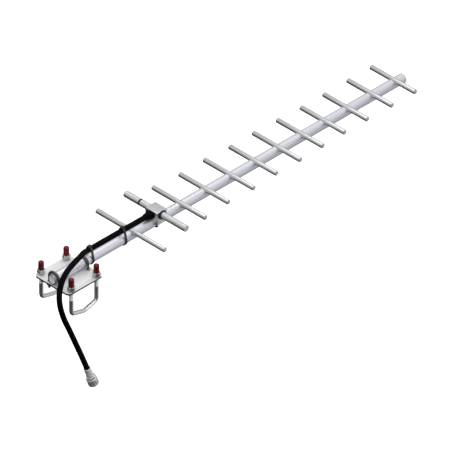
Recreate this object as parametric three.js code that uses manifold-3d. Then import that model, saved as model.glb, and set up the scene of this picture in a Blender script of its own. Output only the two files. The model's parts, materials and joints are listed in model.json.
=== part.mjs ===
// Yagi antenna for a mast: a boom with welded rods, a driven dipole on a feed block, a coax pigtail
// with its connector, and a plate that two V-bolts draw onto the mast. Millimetres, +Z up, +X along
// the boom to its tip. The origin is the middle of the mast plate's underside, where the mast seats.
import * as THREE from "three";
import { mergeVertices } from "three/addons/utils/BufferGeometryUtils.js";
import Module from "manifold-3d";

const wasm = await Module();
wasm.setup();

// ---- Driving dimensions ----

const TOUCH = 0.3; // left between pieces that touch or are welded on the real antenna

const PLATE = { length: 85, width: 86, thickness: 4, corner: 8 };

const BOOM = { radius: 9.525, wall: 2, behindPlateCentre: 41.3, pastLastDirector: 24.5 };

const ROD = { radius: 4.7625, axisBelowBoomTop: 1.125, chamfer: 0.5 };
const REFLECTOR = { fromPlateCentre: 151.5, length: 167 };
// Each director's distance from the element behind it, and its length.
const DIRECTORS = [
  { spacing: 57, length: 129.5 },
  { spacing: 61, length: 120 },
  { spacing: 61, length: 122 },
  { spacing: 59.5, length: 115 },
  { spacing: 58.5, length: 116 },
  { spacing: 57.5, length: 112 },
  { spacing: 56.5, length: 107.5 },
  { spacing: 56.5, length: 107.5 },
  { spacing: 60.5, length: 109 },
  { spacing: 58, length: 108.5 },
];

const DRIVEN = {
  aheadOfReflector: 61,
  radius: 6.35,
  length: 150,
  spigotRadius: 3.2,
  ringFromMiddle: 35.5,
  ringWidth: 3.6,
  ringProud: 0.15,
  tipSpigotRadius: 4,
  tipSpigotLength: 12,
  tipSpigotRoom: 1,
  pastBush: 2,
  edge: 0.6,
};
const BLOCK = { length: 24.5, width: 29, wallAboveFeed: 7.4, edge: 1 };
const BUSH = { wall: 1.4, flangeRadius: 8.8, flangeThickness: 2, endWall: 1.2, pastMiddle: 3.8 };
const CONTACT = { radius: 1.1, coreRadius: 3.3 };
// The boot's outline: distance from its tail, and radius.
const BOOT = { length: 15, outline: [[0, 6.1], [1.2, 6.45], [10.6, 7.3], [12, 8.2], [15, 8.2]] };
const FEED_SCREW = {
  radius: 2.5,
  headRadius: 4.25,
  headHeight: 4,
  headEdge: 0.4,
  socketAcross: 4,
  socketDepth: 2.2,
};

const COAX = { radius: 5.15, sides: 10, step: 22 };
const TIE = { fromPlateCentre: [129.8, 50], width: 4.6, thickness: 1.3, clearance: 0.5 };
const TIE_HEAD = { length: 6, width: 5.4, height: 3.2, tail: 1.5 };

const V_BOLT = {
  radius: 4,
  legSpacing: 61,
  boltSpacing: 74,
  studAbovePlate: 23.8,
  cornerBelowSeat: 45.2,
  apexBelowSeat: 53.4,
  cornerBend: 9,
  apexBend: 14,
};
const MAST_NUT = { across: 13, height: 6.8 };
const MAST_WASHER = { radius: 6.5, thickness: 2 };
const CAP = { wall: 1.05, crown: 1.4, crownRadius: 2.4, aboveStud: 0.5 };

const U_BOLT = { radius: 2.4, fromPlateCentre: [34.8, -35.2], tailBelowPlate: 11.5 };
const U_NUT = { across: 8, height: 4 };
const U_WASHER = { radius: 5, thickness: 1 };

// The plug's crown: shares of the boom's radius, and of the crown's height lost there.
const PLUG = { flange: 1.6, crown: 0.7, depth: 9, leadDepth: 0.8, leadLength: 1.5 };
const PLUG_CROWN = [[1, 1], [0.8, 0.36], [0.4, 0.08], [0, 0]];

const CONNECTOR = {
  jacketInFerrule: 12,
  ferruleWall: 1.2,
  ferruleLength: 19,
  hexAcross: 16,
  hexStart: 7.3,
  hexEnd: 11.3,
  barrelRadius: 6.7,
  lipThickness: 2.6,
  flangeRadius: 7.6,
  flangeEnd: 17,
  sleeveOuter: 4.6,
  sleeveInner: 3.7,
  sleeveEnd: 24.2,
  insulatorBack: 10,
  insulatorFront: 16,
  pinRadius: 1.5,
  pinTipRadius: 0.8,
  pinNeckStart: 18.5,
  pinNeckEnd: 19.2,
  pinEnd: 23.2,
  pinPoint: 0.8,
  gasketThickness: 1.4,
  edge: 0.3,
  nutRadius: 9.9,
  nutEnd: 27,
  nutRearChamfer: 1.4,
  nutFrontChamfer: 0.5,
  nutMouthChamfer: 0.3,
  flutes: 12,
  fluteRadius: 0.9,
  fluteOutside: 0.35,
  fluteFromRear: 4.5,
  fluteFromMouth: 2.5,
};

const STUD_CLEARANCE = 0.5; // radial, of a stud in the plate
const THREAD_GAP = 0.3; // radial, of a stud in its nut, washer or cap
const HEX_CHAMFER = 0.8; // on the corners of nuts and wrench flats
const OUTSIDE_CORNERS = 1.001; // keeps a chamfering bar just outside a hexagon's corners
const JOIN_DEPTH = 1; // how far joined shapes run into each other

// ---- Places worked out from them ----

const plateTop = PLATE.thickness;
const boomZ = plateTop + TOUCH + BOOM.radius;
const reflectorX = REFLECTOR.fromPlateCentre;
const drivenX = reflectorX + DRIVEN.aheadOfReflector;
const directorX = [];
for (const director of DIRECTORS) {
  directorX.push((directorX.at(-1) ?? drivenX) + director.spacing);
}
const boomRearX = -BOOM.behindPlateCentre;
const boomFrontX = directorX.at(-1) + BOOM.pastLastDirector - PLUG.flange - TOUCH;
const rodZ = boomZ + BOOM.radius - ROD.axisBelowBoomTop;
const coaxZ = rodZ + ROD.radius + TOUCH + COAX.radius;
const bushRadius = DRIVEN.spigotRadius + TOUCH + BUSH.wall;

// The pigtail: along the boom from the feed block's rear face, over the front U-bolt, off to the
// -Y side and round the plate's rear edge, then down. Its last point is inside the ferrule.
const COAX_ROUTE = [
  [199.9, 0, 32.5],
  [161.8, 0, 32.5],
  [129.8, 0, 32.5],
  [91.8, 0, 32.5],
  [66.8, 0, 32.5],
  [48, 0, 32.5],
  [34.2, -2.4, 34.5],
  [21.8, -7.1, 35.7],
  [-3.2, -14.4, 35.8],
  [-22.7, -19.1, 31.8],
  [-37.9, -23.6, 24.2],
  [-48.6, -28.2, 13.6],
  [-55.2, -32.6, 0.7],
  [-57.8, -37.4, -15.8],
  [-54.8, -43.2, -39.6],
  [-46.6, -48.2, -65.5],
  [-36.2, -52.1, -95.7],
  [-25.5, -56.3, -127.2],
  [-14.3, -60.4, -161.5],
  [-12.4, -61.1, -167.2],
];

// ---- Materials ----

const finish = (color, roughness, metalness) =>
  new THREE.MeshStandardMaterial({ color, roughness, metalness });
const SATIN_ALUMINIUM = finish(0xdadae4, 0.42, 0.75);
const ROD_ALUMINIUM = finish(0xd6d8d6, 0.4, 0.75);
const CAST_ALUMINIUM = finish(0xb9bab8, 0.55, 0.6);
const PLATE_ALUMINIUM = finish(0xe3e4e1, 0.5, 0.55);
const ZINC = finish(0xa9aba8, 0.35, 0.9);
const NICKEL = finish(0xb4b2ae, 0.25, 0.95);
const BLACK_STEEL = finish(0x2c2c30, 0.4, 0.8);
const BLACK_PVC = finish(0x0a0a0b, 0.5, 0);
const BLACK_NYLON = finish(0x121214, 0.45, 0);
const RED_VINYL = finish(0x7a1016, 0.42, 0);
const RED_NYLON = finish(0x5a2024, 0.5, 0);
const WHITE_PTFE = finish(0xe9e9e4, 0.5, 0);
const GOLD = finish(0xc9a24a, 0.25, 1);

// ---- Solids ----

// A closed geometry as a manifold-3d solid.
function solid(geometry) {
  const bare = geometry.index ? geometry.toNonIndexed() : geometry.clone();
  for (const name of Object.keys(bare.attributes)) {
    if (name !== "position") bare.deleteAttribute(name);
  }
  const merged = mergeVertices(bare, 1e-4);
  const mesh = new wasm.Mesh({
    numProp: 3,
    vertProperties: merged.attributes.position.array,
    triVerts: new Uint32Array(merged.index.array),
  });
  return new wasm.Manifold(mesh);
}

// A manifold-3d solid as a geometry.
function geometryOf(made) {
  const mesh = made.getMesh();
  return new THREE.BufferGeometry()
    .setAttribute("position", new THREE.BufferAttribute(mesh.vertProperties, 3))
    .setIndex(new THREE.BufferAttribute(mesh.triVerts, 1));
}

function cut(geometry, cutters) {
  const whole = solid(geometry);
  return geometryOf(cutters.reduce((left, cutter) => left.subtract(solid(cutter)), whole));
}

function join(geometries) {
  return geometryOf(geometries.map(solid).reduce((sum, piece) => sum.add(piece)));
}

function shared(a, b) {
  return geometryOf(solid(a).intersect(solid(b)));
}

// A round piece about `axis`: profile points are [radius, place along the axis]. A profile that
// doesn't start and end on the axis is closed into a ring.
function turned(profile, axis = "z", segments = 24) {
  const points = profile.map(([radius, along]) => new THREE.Vector2(radius, along));
  const first = points[0];
  if (first.x > 0 || points.at(-1).x > 0) points.push(first.clone());
  const geometry = new THREE.LatheGeometry(points, segments);
  if (axis === "x") return geometry.rotateZ(-Math.PI / 2);
  if (axis === "z") return geometry.rotateX(Math.PI / 2);
  return geometry;
}

// A round bar from `start` to `end` along an axis, with chamfered ends.
function bar(radius, start, end, axis, chamfer = 0, segments = 24) {
  const profile = [[0, start]];
  if (chamfer > 0) profile.push([radius - chamfer, start]);
  profile.push([radius, start + chamfer], [radius, end - chamfer]);
  if (chamfer > 0) profile.push([radius - chamfer, end]);
  profile.push([0, end]);
  return turned(profile, axis, segments);
}

// A ring from `start` to `end` along an axis.
function ring(inner, outer, start, end, axis, segments = 24) {
  return turned([[inner, start], [outer, start], [outer, end], [inner, end]], axis, segments);
}

// A curve through given points, whose evenly spaced points are just those points.
class BentPath extends THREE.Curve {
  constructor(points) {
    super();
    this.points = points;
  }

  getPointAt(u, target = new THREE.Vector3()) {
    return target.copy(this.points[Math.round(u * (this.points.length - 1))]);
  }

  getTangentAt(u, target = new THREE.Vector3()) {
    const last = this.points.length - 1;
    const i = Math.round(u * last);
    const before = this.points[Math.max(i - 1, 0)];
    const after = this.points[Math.min(i + 1, last)];
    const here = this.points[i];
    const incoming = here.clone().sub(before).normalize();
    const outgoing = after.clone().sub(here).normalize();
    return target.copy(incoming.add(outgoing)).normalize();
  }
}

// A round rod or cable swept along points.
function swept(points, radius, sides) {
  const circle = new THREE.Shape();
  circle.absarc(0, 0, radius, 0, 2 * Math.PI, false);
  const options = {
    steps: points.length - 1,
    curveSegments: sides / 2,
    extrudePath: new BentPath(points),
    bevelEnabled: false,
  };
  return new THREE.ExtrudeGeometry(circle, options);
}

// Corner points with each inner corner rounded to its bend radius.
function bent(corners, bends, stepsPerBend) {
  const points = [corners[0]];
  for (let i = 1; i < corners.length - 1; i += 1) {
    const corner = corners[i];
    const toBefore = corners[i - 1].clone().sub(corner).normalize();
    const toAfter = corners[i + 1].clone().sub(corner).normalize();
    const halfAngle = toBefore.angleTo(toAfter) / 2;
    const tangentLength = bends[i - 1] / Math.tan(halfAngle);
    const bisector = toBefore.clone().add(toAfter).normalize();
    const centre = corner.clone().addScaledVector(bisector, bends[i - 1] / Math.sin(halfAngle));
    const start = corner.clone().addScaledVector(toBefore, tangentLength).sub(centre);
    const end = corner.clone().addScaledVector(toAfter, tangentLength).sub(centre);
    const sweep = start.angleTo(end);
    const turn = start.clone().cross(end).normalize();
    for (let k = 0; k <= stepsPerBend; k += 1) {
      const step = start.clone().applyAxisAngle(turn, (sweep * k) / stepsPerBend);
      points.push(step.add(centre));
    }
  }
  points.push(corners.at(-1));
  return points;
}

// A hexagonal nut blank about Z, chamfered at its corners, from `start` to `end`.
function hexagon(across, start, end) {
  const outer = across / Math.sqrt(3);
  const prism = new THREE.CylinderGeometry(outer, outer, end - start, 6)
    .rotateX(Math.PI / 2)
    .translate(0, 0, (start + end) / 2);
  const chamfered = bar(outer * OUTSIDE_CORNERS, start, end, "z", HEX_CHAMFER, 18);
  return shared(prism, chamfered);
}

function hexNut(across, bore, start, end) {
  return cut(hexagon(across, start, end), [bar(bore, start - TOUCH, end + TOUCH, "z", 0, 12)]);
}

const antenna = new THREE.Group();

function add(name, geometry, material, parent = antenna) {
  const mesh = new THREE.Mesh(geometry, material);
  mesh.name = name;
  parent.add(mesh);
  return mesh;
}

// ---- Boom and its rods ----

const elementX = [reflectorX, ...directorX];

function boomTube() {
  const tube = ring(BOOM.radius - BOOM.wall, BOOM.radius, boomRearX, boomFrontX, "x", 32)
    .translate(0, 0, boomZ);
  const notches = elementX.map((x) =>
    bar(ROD.radius + TOUCH, -2 * BOOM.radius, 2 * BOOM.radius, "y", 0, 12).translate(x, 0, rodZ),
  );
  const screwHole = bar(FEED_SCREW.radius + TOUCH, boomZ - 2 * BOOM.radius, coaxZ, "z", 0, 16)
    .translate(drivenX, 0, 0);
  return cut(tube, [...notches, screwHole]);
}

function endPlug() {
  const inBore = BOOM.radius - BOOM.wall - TOUCH;
  const flangeStart = boomFrontX + TOUCH;
  const face = flangeStart + PLUG.flange;
  const profile = [
    [0, boomFrontX - PLUG.depth],
    [inBore - PLUG.leadDepth, boomFrontX - PLUG.depth],
    [inBore, boomFrontX - PLUG.depth + PLUG.leadLength],
    [inBore, flangeStart],
    [BOOM.radius, flangeStart],
    ...PLUG_CROWN.map(([share, lost]) => [BOOM.radius * share, face - PLUG.crown * lost]),
  ];
  return turned(profile, "x", 28).translate(0, 0, boomZ);
}

function rod(x, length) {
  return bar(ROD.radius, -length / 2, length / 2, "y", ROD.chamfer, 20).translate(x, 0, rodZ);
}

add("boom_tube", boomTube(), SATIN_ALUMINIUM);
add("boom_end_plug", endPlug(), WHITE_PTFE);
add("reflector_rod", rod(reflectorX, REFLECTOR.length), ROD_ALUMINIUM);
DIRECTORS.forEach((director, i) => {
  add(`director_rod_${i + 1}`, rod(directorX[i], director.length), ROD_ALUMINIUM);
});

// ---- Driven element and feed ----

const feed = new THREE.Group();
feed.position.set(drivenX, 0, coaxZ);
antenna.add(feed);

const blockHalf = BLOCK.width / 2;
const bushFace = -blockHalf - TOUCH - BUSH.flangeThickness;

// The fed half: a tube with a thinner spigot that the bush holds off the block.
function fedHalf() {
  const shoulder = bushFace - TOUCH;
  const outerEnd = -DRIVEN.length / 2;
  const profile = [
    [0, outerEnd],
    [DRIVEN.radius - DRIVEN.edge, outerEnd],
    [DRIVEN.radius, outerEnd + DRIVEN.edge],
    [DRIVEN.radius, shoulder],
    [DRIVEN.spigotRadius, shoulder],
    [DRIVEN.spigotRadius, BUSH.pastMiddle - BUSH.endWall - TOUCH],
    [0, BUSH.pastMiddle - BUSH.endWall - TOUCH],
  ];
  return turned(profile, "y", 24);
}

// The insulating bush: a blind sleeve with a flange outside the block.
function feedBush() {
  const bore = DRIVEN.spigotRadius + TOUCH;
  const profile = [
    [bore, bushFace],
    [BUSH.flangeRadius, bushFace],
    [BUSH.flangeRadius, -blockHalf - TOUCH],
    [bushRadius, -blockHalf - TOUCH],
    [bushRadius, BUSH.pastMiddle],
    [0, BUSH.pastMiddle],
    [0, BUSH.pastMiddle - BUSH.endWall],
    [bore, BUSH.pastMiddle - BUSH.endWall],
  ];
  const pinHole = bar(CONTACT.radius + TOUCH, -2 * bushRadius, 0, "x", 0, 12);
  return cut(turned(profile, "y"), [pinHole]);
}

function groundedHalf() {
  const shoulder = blockHalf + TOUCH;
  const profile = [
    [0, BUSH.pastMiddle + DRIVEN.pastBush],
    [DRIVEN.spigotRadius, BUSH.pastMiddle + DRIVEN.pastBush],
    [DRIVEN.spigotRadius, shoulder],
    [DRIVEN.radius, shoulder],
    [DRIVEN.radius, DRIVEN.ringFromMiddle - TOUCH],
    [DRIVEN.tipSpigotRadius, DRIVEN.ringFromMiddle - TOUCH],
    [DRIVEN.tipSpigotRadius, DRIVEN.ringFromMiddle + DRIVEN.tipSpigotLength],
    [0, DRIVEN.ringFromMiddle + DRIVEN.tipSpigotLength],
  ];
  return turned(profile, "y", 24);
}

const ringEnd = DRIVEN.ringFromMiddle + DRIVEN.ringWidth;

function tuningRing() {
  const bore = DRIVEN.tipSpigotRadius + TOUCH;
  return ring(bore, DRIVEN.radius + DRIVEN.ringProud, DRIVEN.ringFromMiddle, ringEnd, "y", 24);
}

function drivenTip() {
  const bore = DRIVEN.tipSpigotRadius + TOUCH;
  const boreEnd = DRIVEN.ringFromMiddle + DRIVEN.tipSpigotLength + DRIVEN.tipSpigotRoom;
  const outerEnd = DRIVEN.length / 2;
  const profile = [
    [0, boreEnd],
    [bore, boreEnd],
    [bore, ringEnd + TOUCH],
    [DRIVEN.radius, ringEnd + TOUCH],
    [DRIVEN.radius, outerEnd - DRIVEN.edge],
    [DRIVEN.radius - DRIVEN.edge, outerEnd],
    [0, outerEnd],
  ];
  return turned(profile, "y", 24);
}

// The block: a saddle on the boom's upper half, bored for both dipole halves and the coax core.
function feedBlock() {
  const bottom = boomZ - coaxZ;
  const top = BLOCK.wallAboveFeed;
  const half = BLOCK.length / 2;
  const outline = new THREE.Shape();
  outline.moveTo(-blockHalf, bottom);
  outline.lineTo(blockHalf, bottom);
  outline.lineTo(blockHalf, top - BLOCK.edge);
  outline.lineTo(blockHalf - BLOCK.edge, top);
  outline.lineTo(-blockHalf + BLOCK.edge, top);
  outline.lineTo(-blockHalf, top - BLOCK.edge);
  outline.closePath();
  const body = new THREE.ExtrudeGeometry(outline, { depth: BLOCK.length, bevelEnabled: false })
    .rotateX(Math.PI / 2)
    .rotateZ(Math.PI / 2)
    .translate(-half, 0, 0);
  const saddle = bar(BOOM.radius + TOUCH, -BLOCK.length, BLOCK.length, "x", 0, 36)
    .translate(0, 0, bottom);
  const bushBore = bar(bushRadius + TOUCH, -BLOCK.width, BUSH.pastMiddle + TOUCH, "y");
  const spigotBore = bar(DRIVEN.spigotRadius + TOUCH, 0, BLOCK.width, "y");
  const coreBore = bar(CONTACT.coreRadius + TOUCH, -BLOCK.length, 0, "x", 0, 20);
  const screwBore = bar(FEED_SCREW.radius + TOUCH, bottom, -DRIVEN.spigotRadius, "z", 0, 16);
  return cut(body, [saddle, bushBore, spigotBore, coreBore, screwBore]);
}

function coreInsulator() {
  const start = -BLOCK.length / 2;
  return ring(CONTACT.radius + TOUCH, CONTACT.coreRadius, start, -bushRadius - TOUCH, "x", 20);
}

function contactPin() {
  return bar(CONTACT.radius, -BLOCK.length / 2, -DRIVEN.spigotRadius - TOUCH, "x", 0, 12);
}

function feedBoot() {
  const face = -BLOCK.length / 2 - TOUCH;
  const inner = COAX.radius + TOUCH;
  const profile = [
    [inner, face - BOOT.length],
    ...BOOT.outline.map(([along, radius]) => [radius, face - BOOT.length + along]),
    [inner, face],
  ];
  return turned(profile, "x");
}

// A socket-headed screw up through the boom into the block.
function feedScrew() {
  const headTop = boomZ - coaxZ - BOOM.radius - TOUCH;
  const headBottom = headTop - FEED_SCREW.headHeight;
  const tip = -bushRadius - 2 * TOUCH;
  const profile = [
    [0, headBottom],
    [FEED_SCREW.headRadius - FEED_SCREW.headEdge, headBottom],
    [FEED_SCREW.headRadius, headBottom + FEED_SCREW.headEdge],
    [FEED_SCREW.headRadius, headTop],
    [FEED_SCREW.radius, headTop],
    [FEED_SCREW.radius, tip],
    [0, tip],
  ];
  const socket = new THREE.CylinderGeometry(
    FEED_SCREW.socketAcross / Math.sqrt(3),
    FEED_SCREW.socketAcross / Math.sqrt(3),
    2 * FEED_SCREW.socketDepth,
    6,
  ).rotateX(Math.PI / 2);
  return cut(turned(profile, "z", 20), [socket.translate(0, 0, headBottom)]);
}

add("driven_half_fed", fedHalf(), ROD_ALUMINIUM, feed);
add("driven_half_grounded", groundedHalf(), ROD_ALUMINIUM, feed);
add("driven_tuning_ring", tuningRing(), RED_NYLON, feed);
add("driven_tip", drivenTip(), ROD_ALUMINIUM, feed);
add("feed_block", feedBlock(), CAST_ALUMINIUM, feed);
add("feed_bush", feedBush(), BLACK_NYLON, feed);
add("feed_core_insulator", coreInsulator(), WHITE_PTFE, feed);
add("feed_contact_pin", contactPin(), GOLD, feed);
add("feed_boot", feedBoot(), BLACK_PVC, feed);
add("feed_block_screw", feedScrew(), BLACK_STEEL, feed);

// ---- Coax pigtail and its ties ----

const routePoints = COAX_ROUTE.map(([x, y, z]) => new THREE.Vector3(x, y, z));
const route = new THREE.CatmullRomCurve3(routePoints, false, "centripetal");

function coaxCable() {
  const steps = Math.round(route.getLength() / COAX.step);
  return swept(route.getSpacedPoints(steps), COAX.radius, COAX.sides);
}

// The loop of a tie round boom and coax: both circles grown by `grow`, joined by their tangents.
function tieOutline(grow) {
  const boomRadius = BOOM.radius + grow;
  const coaxRadius = COAX.radius + grow;
  const tilt = Math.asin((boomRadius - coaxRadius) / (coaxZ - boomZ));
  const outline = new THREE.Shape();
  outline.absarc(0, boomZ, boomRadius, Math.PI - tilt, 2 * Math.PI + tilt, false);
  outline.absarc(0, coaxZ, coaxRadius, tilt, Math.PI - tilt, false);
  outline.closePath();
  return outline;
}

function cableTie(x) {
  const outline = tieOutline(TIE.clearance + TIE.thickness);
  outline.holes.push(new THREE.Path(tieOutline(TIE.clearance).getPoints(7)));
  const options = { depth: TIE.width, bevelEnabled: false, curveSegments: 7 };
  const loop = new THREE.ExtrudeGeometry(outline, options)
    .rotateX(Math.PI / 2)
    .rotateZ(Math.PI / 2)
    .translate(x - TIE.width / 2, 0, 0);
  const headBottom = coaxZ + COAX.radius + TIE.clearance + TIE.thickness / 2;
  const head = new THREE.BoxGeometry(TIE_HEAD.length, TIE_HEAD.width, TIE_HEAD.height)
    .translate(x, 0, headBottom + TIE_HEAD.height / 2);
  const tail = new THREE.BoxGeometry(TIE.width, TIE_HEAD.tail + TIE_HEAD.width / 2, TIE.thickness)
    .translate(x, (TIE_HEAD.tail + TIE_HEAD.width / 2) / 2, headBottom + TIE_HEAD.height / 2);
  return join([loop, head, tail]);
}

add("coax_cable", coaxCable(), BLACK_PVC);
add("cable_tie_front", cableTie(TIE.fromPlateCentre[0]), BLACK_NYLON);
add("cable_tie_rear", cableTie(TIE.fromPlateCentre[1]), BLACK_NYLON);

// ---- Coax connector, in a group whose +Z points out of its mouth ----

const connector = new THREE.Group();
const routeEnd = routePoints.at(-1);
const connectorAxis = route.getTangentAt(1);
connector.position.copy(routeEnd);
connector.quaternion.setFromUnitVectors(new THREE.Vector3(0, 0, 1), connectorAxis);
antenna.add(connector);

const ferruleBore = COAX.radius + TOUCH;
const ferruleEnd = CONNECTOR.ferruleLength - CONNECTOR.jacketInFerrule;

function ferrule() {
  const outer = ferruleBore + CONNECTOR.ferruleWall;
  return ring(ferruleBore, outer, -CONNECTOR.jacketInFerrule, ferruleEnd, "z");
}

// The body: a neck in the ferrule, wrench flats, a barrel that the coupling nut turns on, the
// flange that keeps the nut on, and the open contact sleeve.
function connectorBody() {
  const neck = bar(ferruleBore - TOUCH, TOUCH, CONNECTOR.hexStart + JOIN_DEPTH, "z");
  const hex = hexagon(CONNECTOR.hexAcross, CONNECTOR.hexStart, CONNECTOR.hexEnd);
  const flangeStart = CONNECTOR.hexEnd + CONNECTOR.lipThickness + 2 * TOUCH;
  const barrel = bar(CONNECTOR.barrelRadius, CONNECTOR.hexEnd - JOIN_DEPTH, flangeStart, "z");
  const { edge, flangeEnd, sleeveEnd } = CONNECTOR;
  const flange = bar(CONNECTOR.flangeRadius, flangeStart, flangeEnd, "z", edge);
  const sleeve = bar(CONNECTOR.sleeveOuter, flangeEnd - JOIN_DEPTH, sleeveEnd, "z", edge);
  const boreStart = CONNECTOR.insulatorBack - TOUCH;
  const bore = bar(CONNECTOR.sleeveInner, boreStart, sleeveEnd + JOIN_DEPTH, "z", 0, 20);
  const pinRoom = CONNECTOR.pinRadius + TOUCH;
  const pinBore = bar(pinRoom, CONNECTOR.hexStart, boreStart + JOIN_DEPTH, "z", 0, 12);
  return cut(join([neck, hex, barrel, flange, sleeve]), [bore, pinBore]);
}

function connectorInsulator() {
  const outer = CONNECTOR.sleeveInner - TOUCH;
  const bore = CONNECTOR.pinRadius + TOUCH;
  return ring(bore, outer, CONNECTOR.insulatorBack, CONNECTOR.insulatorFront, "z", 20);
}

function connectorPin() {
  const profile = [
    [0, CONNECTOR.hexStart + TOUCH],
    [CONNECTOR.pinRadius, CONNECTOR.hexStart + TOUCH],
    [CONNECTOR.pinRadius, CONNECTOR.pinNeckStart],
    [CONNECTOR.pinTipRadius, CONNECTOR.pinNeckEnd],
    [CONNECTOR.pinTipRadius, CONNECTOR.pinEnd - CONNECTOR.pinPoint],
    [0, CONNECTOR.pinEnd],
  ];
  return turned(profile, "z", 12);
}

function connectorGasket() {
  const start = CONNECTOR.flangeEnd + TOUCH;
  const inner = CONNECTOR.sleeveOuter + TOUCH;
  return ring(inner, CONNECTOR.flangeRadius - TOUCH, start, start + CONNECTOR.gasketThickness, "z", 20);
}

// The coupling nut: a fluted sleeve with an inward lip behind the body's flange.
function couplingNut() {
  const start = CONNECTOR.hexEnd + TOUCH;
  const lipEnd = start + CONNECTOR.lipThickness;
  const lipBore = CONNECTOR.barrelRadius + TOUCH;
  const bore = CONNECTOR.flangeRadius + TOUCH;
  const outer = CONNECTOR.nutRadius;
  const mouth = CONNECTOR.nutEnd;
  const profile = [
    [lipBore, start],
    [outer - CONNECTOR.nutRearChamfer, start],
    [outer, start + CONNECTOR.nutRearChamfer],
    [outer, mouth - CONNECTOR.nutFrontChamfer],
    [outer - CONNECTOR.nutFrontChamfer, mouth],
    [bore + CONNECTOR.nutMouthChamfer, mouth],
    [bore, mouth - CONNECTOR.nutMouthChamfer],
    [bore, lipEnd],
    [lipBore, lipEnd],
  ];
  const fluteStart = start + CONNECTOR.fluteFromRear;
  const fluteEnd = mouth - CONNECTOR.fluteFromMouth;
  const flutes = Array.from({ length: CONNECTOR.flutes }, (_, i) => {
    const turn = (2 * Math.PI * i) / CONNECTOR.flutes;
    return bar(CONNECTOR.fluteRadius, fluteStart, fluteEnd, "z", 0, 6)
      .translate(outer + CONNECTOR.fluteOutside, 0, 0)
      .rotateZ(turn);
  });
  return cut(turned(profile, "z", 24), flutes);
}

add("connector_ferrule", ferrule(), NICKEL, connector);
add("connector_body", connectorBody(), NICKEL, connector);
add("connector_insulator", connectorInsulator(), WHITE_PTFE, connector);
add("connector_pin", connectorPin(), GOLD, connector);
add("connector_gasket", connectorGasket(), BLACK_NYLON, connector);
add("coupling_nut", couplingNut(), NICKEL, connector);

// ---- Mast plate, V-bolts, nuts, washers and caps ----

const legX = V_BOLT.legSpacing / 2;
const boltY = V_BOLT.boltSpacing / 2;
const uLegY = BOOM.radius + TOUCH + U_BOLT.radius;

function mastPlate() {
  const x = PLATE.length / 2;
  const y = PLATE.width / 2;
  const r = PLATE.corner;
  const outline = new THREE.Shape();
  outline.absarc(x - r, y - r, r, 0, Math.PI / 2, false);
  outline.absarc(-x + r, y - r, r, Math.PI / 2, Math.PI, false);
  outline.absarc(-x + r, -y + r, r, Math.PI, 1.5 * Math.PI, false);
  outline.absarc(x - r, -y + r, r, 1.5 * Math.PI, 2 * Math.PI, false);
  outline.closePath();
  const drill = (px, py, radius) => {
    const hole = new THREE.Path();
    hole.absarc(px, py, radius, 0, 2 * Math.PI, true);
    outline.holes.push(hole);
  };
  for (const side of [-1, 1]) {
    for (const end of [-1, 1]) drill(end * legX, side * boltY, V_BOLT.radius + STUD_CLEARANCE);
    for (const px of U_BOLT.fromPlateCentre) drill(px, side * uLegY, U_BOLT.radius + STUD_CLEARANCE);
  }
  const options = { depth: PLATE.thickness, bevelEnabled: false, curveSegments: 6 };
  return new THREE.ExtrudeGeometry(outline, options);
}

const studTop = plateTop + V_BOLT.studAbovePlate;

function vBolt(y) {
  const at = (x, z) => new THREE.Vector3(x, y, z);
  const corners = [
    at(-legX, studTop),
    at(-legX, -V_BOLT.cornerBelowSeat),
    at(0, -V_BOLT.apexBelowSeat),
    at(legX, -V_BOLT.cornerBelowSeat),
    at(legX, studTop),
  ];
  const bends = [V_BOLT.cornerBend, V_BOLT.apexBend, V_BOLT.cornerBend];
  return swept(bent(corners, bends, 5), V_BOLT.radius, 16);
}

const nutStart = plateTop + TOUCH + MAST_WASHER.thickness + TOUCH;
const nutEnd = nutStart + MAST_NUT.height;

function vinylCap() {
  const inner = V_BOLT.radius + THREAD_GAP;
  const outer = inner + CAP.wall;
  const insideTop = studTop + CAP.aboveStud;
  const round = CAP.crownRadius;
  const shoulder = insideTop + CAP.crown - round;
  const crown = [1, 2, 3, 4].map((i) => {
    const turn = (i * Math.PI) / 8;
    return [outer - round + round * Math.cos(turn), shoulder + round * Math.sin(turn)];
  });
  const profile = [
    [0, insideTop],
    [inner, insideTop],
    [inner, nutEnd + TOUCH],
    [outer, nutEnd + TOUCH],
    [outer, shoulder],
    ...crown,
    [0, insideTop + CAP.crown],
  ];
  return turned(profile, "z", 16);
}

add("mast_plate", mastPlate(), PLATE_ALUMINIUM);
const boltSides = { left: boltY, right: -boltY };
const legEnds = { front: legX, rear: -legX };
for (const [side, y] of Object.entries(boltSides)) {
  add(`v_bolt_${side}`, vBolt(y), ZINC);
  for (const [end, x] of Object.entries(legEnds)) {
    const bore = V_BOLT.radius + THREAD_GAP;
    const washerStart = plateTop + TOUCH;
    const washer = ring(bore, MAST_WASHER.radius, washerStart, nutStart - TOUCH, "z", 16);
    const nut = hexNut(MAST_NUT.across, bore, nutStart, nutEnd);
    add(`mast_washer_${side}_${end}`, washer, ZINC).position.set(x, y, 0);
    add(`mast_nut_${side}_${end}`, nut, ZINC).position.set(x, y, 0);
    add(`stud_cap_${side}_${end}`, vinylCap(), RED_VINYL).position.set(x, y, 0);
  }
}

// ---- U-bolts that hold the boom on the plate ----

function uBolt(x) {
  const at = (y, z) => new THREE.Vector3(x, y, z);
  const points = [at(-uLegY, -U_BOLT.tailBelowPlate)];
  const steps = 12;
  for (let k = 0; k <= steps; k += 1) {
    const turn = Math.PI - (Math.PI * k) / steps;
    points.push(at(uLegY * Math.cos(turn), boomZ + uLegY * Math.sin(turn)));
  }
  points.push(at(uLegY, -U_BOLT.tailBelowPlate));
  return swept(points, U_BOLT.radius, 12);
}

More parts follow.
